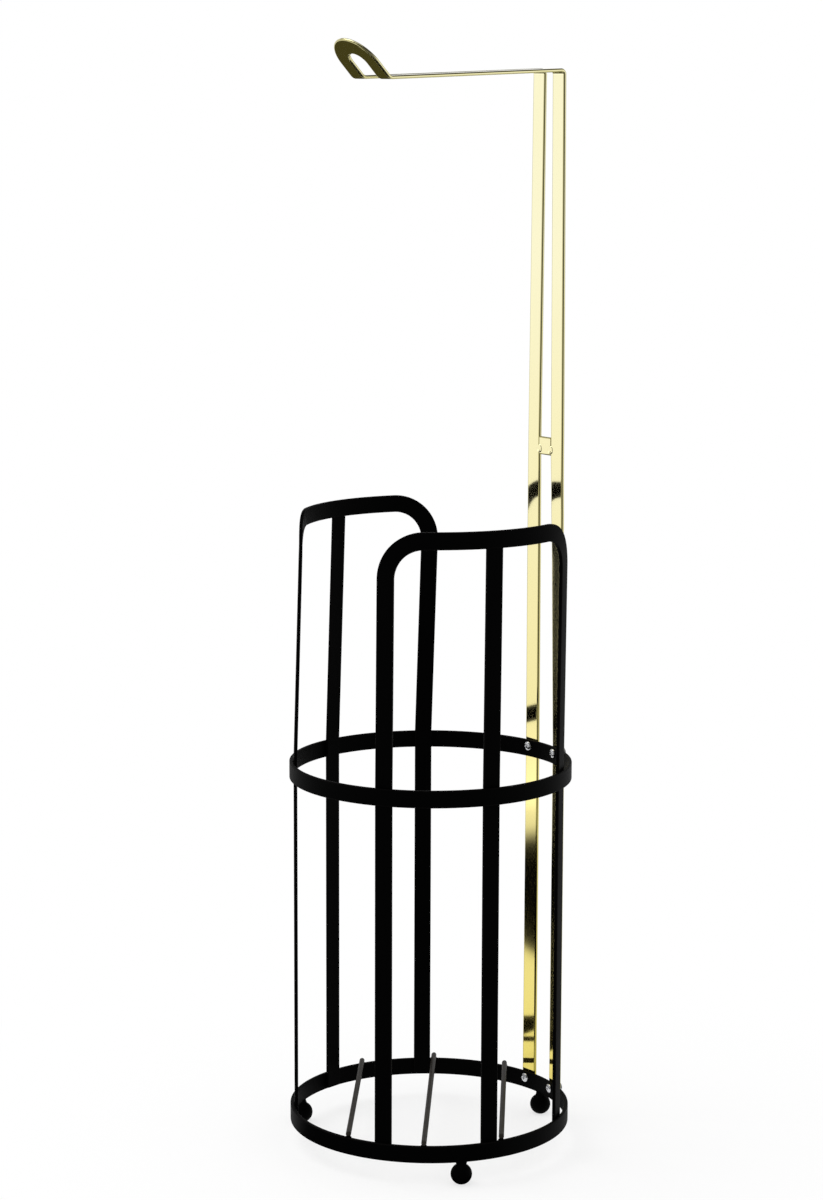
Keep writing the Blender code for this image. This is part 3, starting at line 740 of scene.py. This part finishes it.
# Screws: M3 round-head machine screws with a cross recess, zinc plated. Each goes out through a
# ring and a bar of the stand and takes a hexagon nut behind it.
HEAD_RADIUS = 2.6 * MILLIMETRE
HEAD_RIM = 0.5 * MILLIMETRE
HEAD_HEIGHT = 1.6 * MILLIMETRE
HEAD_EDGE = 0.15 * MILLIMETRE
SHANK_RADIUS = 1.45 * MILLIMETRE
THREAD_PITCH = 0.5 * MILLIMETRE
THREAD_DEPTH = 0.22 * MILLIMETRE
RECESS_LENGTH = 3.0 * MILLIMETRE
RECESS_WIDTH = 0.62 * MILLIMETRE
RECESS_DEPTH = 0.9 * MILLIMETRE
RECESS_TAPER_SHARE = 0.45
NUT_FLATS = 5.5 * MILLIMETRE
NUT_HEIGHT = 2.4 * MILLIMETRE
NUT_CHAMFER_TURN = radians(30)
NUT_CHAMFER = 0.2 * MILLIMETRE
NUT_SEAT = STRIP_RADIUS + STRIP_SET_BACK + BAR_THICKNESS / 2
SCREW_PAST_NUT = 0.8 * MILLIMETRE
SCREW_SIDES = 48
NUT_SIDES = 6
DOME_STEPS = 10
SCREW_CREASE_TURN = radians(35)
NUT_CREASE_TURN = radians(25)

ZINC_COLOUR = "e3e4e6"
ZINC_DULL_COLOUR = "b9bbbd"
ZINC_ROUGHNESS = (0.14, 0.30)
SPANGLE_SIZE = 1.5 * MILLIMETRE

# Bright zinc plate is a pale silver mirror that handling has dulled in small patches.
zinc, tree, place = new_material("bright zinc plate")
spangle = add_node(tree, "ShaderNodeTexNoise", {"Scale": 1 / SPANGLE_SIZE, "Detail": 3}, {"Vector": place})
shade = add_node(
    tree,
    "ShaderNodeMix",
    {"data_type": "RGBA", "A_Color": linear(ZINC_DULL_COLOUR), "B_Color": linear(ZINC_COLOUR)},
    {"Factor_Float": spangle},
)
gloss = add_node(
    tree,
    "ShaderNodeMapRange",
    {"To Min": ZINC_ROUGHNESS[0], "To Max": ZINC_ROUGHNESS[1]},
    {"Value": spangle},
)
shader = add_node(
    tree,
    "ShaderNodeBsdfPrincipled",
    {"Metallic": 1.0},
    {"Base Color": socket(shade.outputs, "Result_Color"), "Roughness": gloss},
)
add_node(tree, "ShaderNodeOutputMaterial", {}, {"Surface": shader})

screw_length = NUT_SEAT + NUT_HEIGHT + SCREW_PAST_NUT - RING_INSIDE
for name, (angle, height) in screw_places.items():
    profile = [(0, screw_length), (SHANK_RADIUS - THREAD_DEPTH, screw_length)]
    turns = int((screw_length - BAR_THICKNESS * 2) / THREAD_PITCH)
    for turn in range(turns):
        crest = screw_length - (turn + 0.5) * THREAD_PITCH
        profile += [(SHANK_RADIUS, crest), (SHANK_RADIUS - THREAD_DEPTH, crest - THREAD_PITCH / 2)]
    profile += [(SHANK_RADIUS, BAR_THICKNESS), (SHANK_RADIUS, 0), (HEAD_RADIUS - HEAD_EDGE, 0)]
    profile += [(HEAD_RADIUS, -HEAD_EDGE), (HEAD_RADIUS, -HEAD_RIM)]
    for turn in spread(0, pi / 2, DOME_STEPS)[:-1]:
        profile.append((HEAD_RADIUS * cos(turn), -HEAD_RIM - (HEAD_HEIGHT - HEAD_RIM) * sin(turn)))
    profile.append((0, -HEAD_HEIGHT))
    screw = finish_mesh("screw", turned_form(profile, SCREW_SIDES))
    for turn in (0, pi / 2):
        form = bmesh.new()
        crown = Matrix.Translation((0, 0, -HEAD_HEIGHT))
        add_box(form, (RECESS_LENGTH, RECESS_WIDTH, 2 * RECESS_DEPTH), crown)
        for vert in form.verts:
            if vert.co.z > -HEAD_HEIGHT:
                vert.co.x *= RECESS_TAPER_SHARE
        bmesh.ops.rotate(form, verts=form.verts, matrix=Matrix.Rotation(turn, 3, "Z"))
        screw = carve(screw, finish_mesh("recess", form))
    screw.transform(radial_frame(angle, RING_INSIDE, height))
    screw.set_sharp_from_angle(angle=SCREW_CREASE_TURN)
    put_piece("round_head_screw_" + name, screw, zinc, "zinc_plate", "screw_" + name)

    corner = NUT_FLATS / 2 / cos(pi / NUT_SIDES)
    hexagon = turned_form([(0, 0), (corner, 0), (corner, NUT_HEIGHT), (0, NUT_HEIGHT)], NUT_SIDES)
    face = (NUT_FLATS / 2, NUT_HEIGHT)
    flank = (corner + NUT_CHAMFER, NUT_HEIGHT - (corner + NUT_CHAMFER - face[0]) * tan(NUT_CHAMFER_TURN))
    half = [(0, NUT_HEIGHT), face, flank]
    chamfers = turned_form(half + [(radius, NUT_HEIGHT - z) for radius, z in reversed(half)], SCREW_SIDES)
    nut = carve(finish_mesh("nut", hexagon), finish_mesh("chamfers", chamfers), "INTERSECT")
    bore = SHANK_RADIUS + THREAD_DEPTH / 2
    below, above = -NUT_HEIGHT, 2 * NUT_HEIGHT
    hole = turned_form([(0, below), (bore, below), (bore, above), (0, above)], SCREW_SIDES)
    nut = carve(nut, finish_mesh("hole", hole))
    nut.transform(radial_frame(angle, NUT_SEAT, height))
    nut.set_sharp_from_angle(angle=NUT_CREASE_TURN)
    put_piece("hexagon_nut_" + name, nut, zinc, "zinc_plate", "nut_" + name)

# Studio: the holder stands on a round white table in a white room, in soft light from all round.
# Only mirrors see the dark things that draw the brass: the side of the room where the camera
# stands, a ceiling that is open overhead, a brown floor, and a cloth on the table.
TABLE_RADIUS = 0.72
TABLE_STEPS = 128
TABLE_COLOUR = "f4f4f4"
TABLE_GLOW_SHARE = 0.68
TABLE_GLOW_START = 0.07
TABLE_GLOW_END = 0.35

# Each edge is a pair of values, where a change starts and where it is full. On the table they are
# metres. In the room they are parts of a direction of length 1.
CLOTH_SLANT = -0.5
CLOTH_NEAR_EDGE = (-0.050, -0.060)
CLOTH_LEFT_EDGE = (-0.34, -0.40)
CLOTH_FAR_EDGE = (0.668, 0.595)
CLOTH_LEVEL = 0.002
DARK_SIDE = (0.866, -0.50, 0.0)
DARK_SIDE_LEVEL = 0.22
DARK_SIDE_EDGE = (0.53, 0.68)
BRIGHT_SIDE = (0.79, 0.61, 0.0)
BRIGHT_SIDE_LEVEL = 1.15
BRIGHT_SIDE_EDGE = (0.6, 0.9)
HORIZON_LEVEL = 1.35
HORIZON_EDGE = (-0.205, -0.228)
CEILING_LEVEL = 0.10
CEILING_EDGE = (0.40, 0.55)
OVERHEAD_EDGE = (0.925, 0.945)
FLOOR_COLOUR = "38351a"
FLOOR_SLANT = -0.5
FLOOR_EDGE = (-0.35, -0.50)
FLOOR_SIDE_EDGE = (-0.62, -0.74)
FLOOR_FRONT_EDGE = (0.35, 0.10)
ROOM_LIGHT = 0.90

table = bmesh.new()
bmesh.ops.create_circle(table, cap_ends=True, segments=TABLE_STEPS, radius=TABLE_RADIUS)
table = bpy.data.objects.new("studio_table", finish_mesh("studio_table", table))
bpy.context.scene.collection.objects.link(table)

# Matt white board. The camera and mirrors see it glow as well, full white toward the rim, so that
# it runs into the room and keeps only a soft shadow round the basket.
board, tree, place = new_material("matt white board")
rays = add_node(tree, "ShaderNodeLightPath", {}, {})
axes = add_node(tree, "ShaderNodeSeparateXYZ", {}, {"Vector": place})
right, back = axes.outputs[:2]
slanted = add_node(
    tree,
    "ShaderNodeMath",
    {"operation": "MULTIPLY_ADD", "Value_001": CLOTH_SLANT},
    {"Value": right, "Value_002": back},
)
length = add_node(tree, "ShaderNodeVectorMath", {"operation": "LENGTH"}, {"Vector": place})
away = socket(length.outputs, "Value")
outward = add_node(
    tree,
    "ShaderNodeMapRange",
    {"From Min": TABLE_GLOW_START, "From Max": TABLE_GLOW_END, "To Min": TABLE_GLOW_SHARE, "To Max": 1.0},
    {"Value": away},
)
parts = {
    "camera": socket(rays.outputs, "Is Camera Ray"),
    "mirror": socket(rays.outputs, "Is Glossy Ray"),
    "outward": outward,
}
for name, value, edge in (
    ("near edge", slanted, CLOTH_NEAR_EDGE),
    ("left edge", right, CLOTH_LEFT_EDGE),
    ("far edge", away, CLOTH_FAR_EDGE),
):
    parts[name] = add_node(
        tree,
        "ShaderNodeMapRange",
        {"interpolation_type": "SMOOTHSTEP", "From Min": edge[0], "From Max": edge[1]},
        {"Value": value},
    )
for name, operation, first, second in (
    ("draped", "MAXIMUM", "near edge", "left edge"),
    ("cloth", "MULTIPLY", "draped", "far edge"),
    ("mirrored cloth", "MULTIPLY", "cloth", "mirror"),
    ("lifted", "MAXIMUM", "outward", "mirrored cloth"),
    ("seen", "MAXIMUM", "camera", "mirror"),
    ("glow share", "MULTIPLY", "lifted", "seen"),
):
    sources = {"Value": parts[first], "Value_001": parts[second]}
    parts[name] = add_node(tree, "ShaderNodeMath", {"operation": operation}, sources)
level = add_node(
    tree, "ShaderNodeMapRange", {"To Min": 1.0, "To Max": CLOTH_LEVEL}, {"Value": parts["mirrored cloth"]}
)
matt = add_node(tree, "ShaderNodeBsdfDiffuse", {"Color": linear(TABLE_COLOUR)}, {})
glow = add_node(tree, "ShaderNodeEmission", {"Color": linear("ffffff")}, {"Strength": level})
mixed = add_node(
    tree, "ShaderNodeMixShader", {}, {"Fac": parts["glow share"], "Shader": matt, "Shader_001": glow}
)
add_node(tree, "ShaderNodeOutputMaterial", {}, {"Surface": mixed})
table.data.materials.append(board)

# The room is plain white to the camera and an even light to matt surfaces. In a mirror it has
# levels of its own: the dark side, a brighter side and horizon, the ceiling and the floor.
world = bpy.data.worlds.new("studio")
world.use_nodes = True
bpy.context.scene.world = world
tree = world.node_tree
tree.nodes.clear()
toward = socket(add_node(tree, "ShaderNodeTexCoord", {}, {}).outputs, "Generated")
axes = add_node(tree, "ShaderNodeSeparateXYZ", {}, {"Vector": toward})
right, back, up = axes.outputs
facing = {}
for name, side in (("dark", DARK_SIDE), ("bright", BRIGHT_SIDE)):
    settings = {"operation": "DOT_PRODUCT", "Vector_001": side}
    product = add_node(tree, "ShaderNodeVectorMath", settings, {"Vector": toward})
    facing[name] = socket(product.outputs, "Value")
rearward = add_node(tree, "ShaderNodeMath", {"operation": "MAXIMUM", "Value_001": 0.0}, {"Value": back})
floor_rise = add_node(
    tree,
    "ShaderNodeMath",
    {"operation": "MULTIPLY_ADD", "Value_001": FLOOR_SLANT},
    {"Value": rearward, "Value_002": up},
)
parts = {}
for name, value, edge, start, full in (
    ("dark side", facing["dark"], DARK_SIDE_EDGE, 1.0, DARK_SIDE_LEVEL),
    ("bright side", facing["bright"], BRIGHT_SIDE_EDGE, 1.0, BRIGHT_SIDE_LEVEL),
    ("horizon", up, HORIZON_EDGE, 1.0, HORIZON_LEVEL),
    ("ceiling", up, CEILING_EDGE, 1.0, CEILING_LEVEL),
    ("overhead", up, OVERHEAD_EDGE, 0.0, 1.0),
    ("downward", floor_rise, FLOOR_EDGE, 0.0, 1.0),
    ("leftward", right, FLOOR_SIDE_EDGE, 0.0, 1.0),
    ("frontward", back, FLOOR_FRONT_EDGE, 0.0, 1.0),
):
    settings = {"From Min": edge[0], "From Max": edge[1], "To Min": start, "To Max": full}
    settings["interpolation_type"] = "SMOOTHSTEP"
    parts[name] = add_node(tree, "ShaderNodeMapRange", settings, {"Value": value})
for name, operation, first, second in (
    ("open ceiling", "MAXIMUM", "ceiling", "overhead"),
    ("sideward", "MAXIMUM", "leftward", "frontward"),
    ("floor", "MULTIPLY", "downward", "sideward"),
    ("lit", "MAXIMUM", "bright side", "horizon"),
    ("shaded", "MULTIPLY", "dark side", "open ceiling"),
    ("room", "MULTIPLY", "shaded", "lit"),
):
    sources = {"Value": parts[first], "Value_001": parts[second]}
    parts[name] = add_node(tree, "ShaderNodeMath", {"operation": operation}, sources)
wall = add_node(
    tree,
    "ShaderNodeMix",
    {"data_type": "RGBA", "A_Color": linear("ffffff"), "B_Color": linear(FLOOR_COLOUR)},
    {"Factor_Float": parts["floor"]},
)
rays = add_node(tree, "ShaderNodeLightPath", {}, {})
mirrored = add_node(
    tree,
    "ShaderNodeBackground",
    {},
    {"Color": socket(wall.outputs, "Result_Color"), "Strength": parts["room"]},
)
lit = add_node(tree, "ShaderNodeBackground", {"Color": linear("ffffff"), "Strength": ROOM_LIGHT}, {})
white = add_node(tree, "ShaderNodeBackground", {"Color": linear("ffffff"), "Strength": 1.0}, {})
inner = add_node(
    tree,
    "ShaderNodeMixShader",
    {},
    {"Fac": socket(rays.outputs, "Is Glossy Ray"), "Shader": lit, "Shader_001": mirrored},
)
outer = add_node(
    tree,
    "ShaderNodeMixShader",
    {},
    {"Fac": socket(rays.outputs, "Is Camera Ray"), "Shader": inner, "Shader_001": white},
)
add_node(tree, "ShaderNodeOutputWorld", {}, {"Surface": outer})

# A weak softbox high at the front left gives the black bars some shape.
SOFTBOX_SIZE = 1.4
SOFTBOX_PLACE = Vector((-0.9, -0.7, 2.0))
SOFTBOX_AIM = Vector((0, 0, 0.2))
SOFTBOX_POWER = 14.0
softbox = bpy.data.lights.new("softbox", "AREA")
softbox.size = SOFTBOX_SIZE
softbox.energy = SOFTBOX_POWER
lamp = bpy.data.objects.new("softbox", softbox)
bpy.context.scene.collection.objects.link(lamp)
lamp.location = SOFTBOX_PLACE
lamp.rotation_euler = (SOFTBOX_AIM - SOFTBOX_PLACE).to_track_quat("-Z", "Y").to_euler()

# Camera: level with the arm, 1.75 m from the rings' axis toward the front right, and tipped down
# a little. The long lens keeps the uprights nearly parallel.
CAMERA_PLACE = Vector((1.398608, -1.053093 + AXIS_Y, 0.611193))
CAMERA_AZIMUTH = radians(53.384)
CAMERA_PITCH = radians(-9.605)
CAMERA_ROLL = radians(0.178)
CAMERA_LENS = 94.79
SENSOR_HEIGHT = 36.0

camera = bpy.data.cameras.new("camera")
camera.sensor_fit = "VERTICAL"
camera.sensor_height = SENSOR_HEIGHT
camera.lens = CAMERA_LENS
viewer = bpy.data.objects.new("camera", camera)
bpy.context.scene.collection.objects.link(viewer)
turn = Matrix.Rotation(CAMERA_AZIMUTH, 4, "Z") @ Matrix.Rotation(pi / 2 + CAMERA_PITCH, 4, "X")
viewer.matrix_world = Matrix.Translation(CAMERA_PLACE) @ turn @ Matrix.Rotation(CAMERA_ROLL, 4, "Z")
bpy.context.scene.camera = viewer
bpy.context.scene.view_settings.view_transform = "Standard"
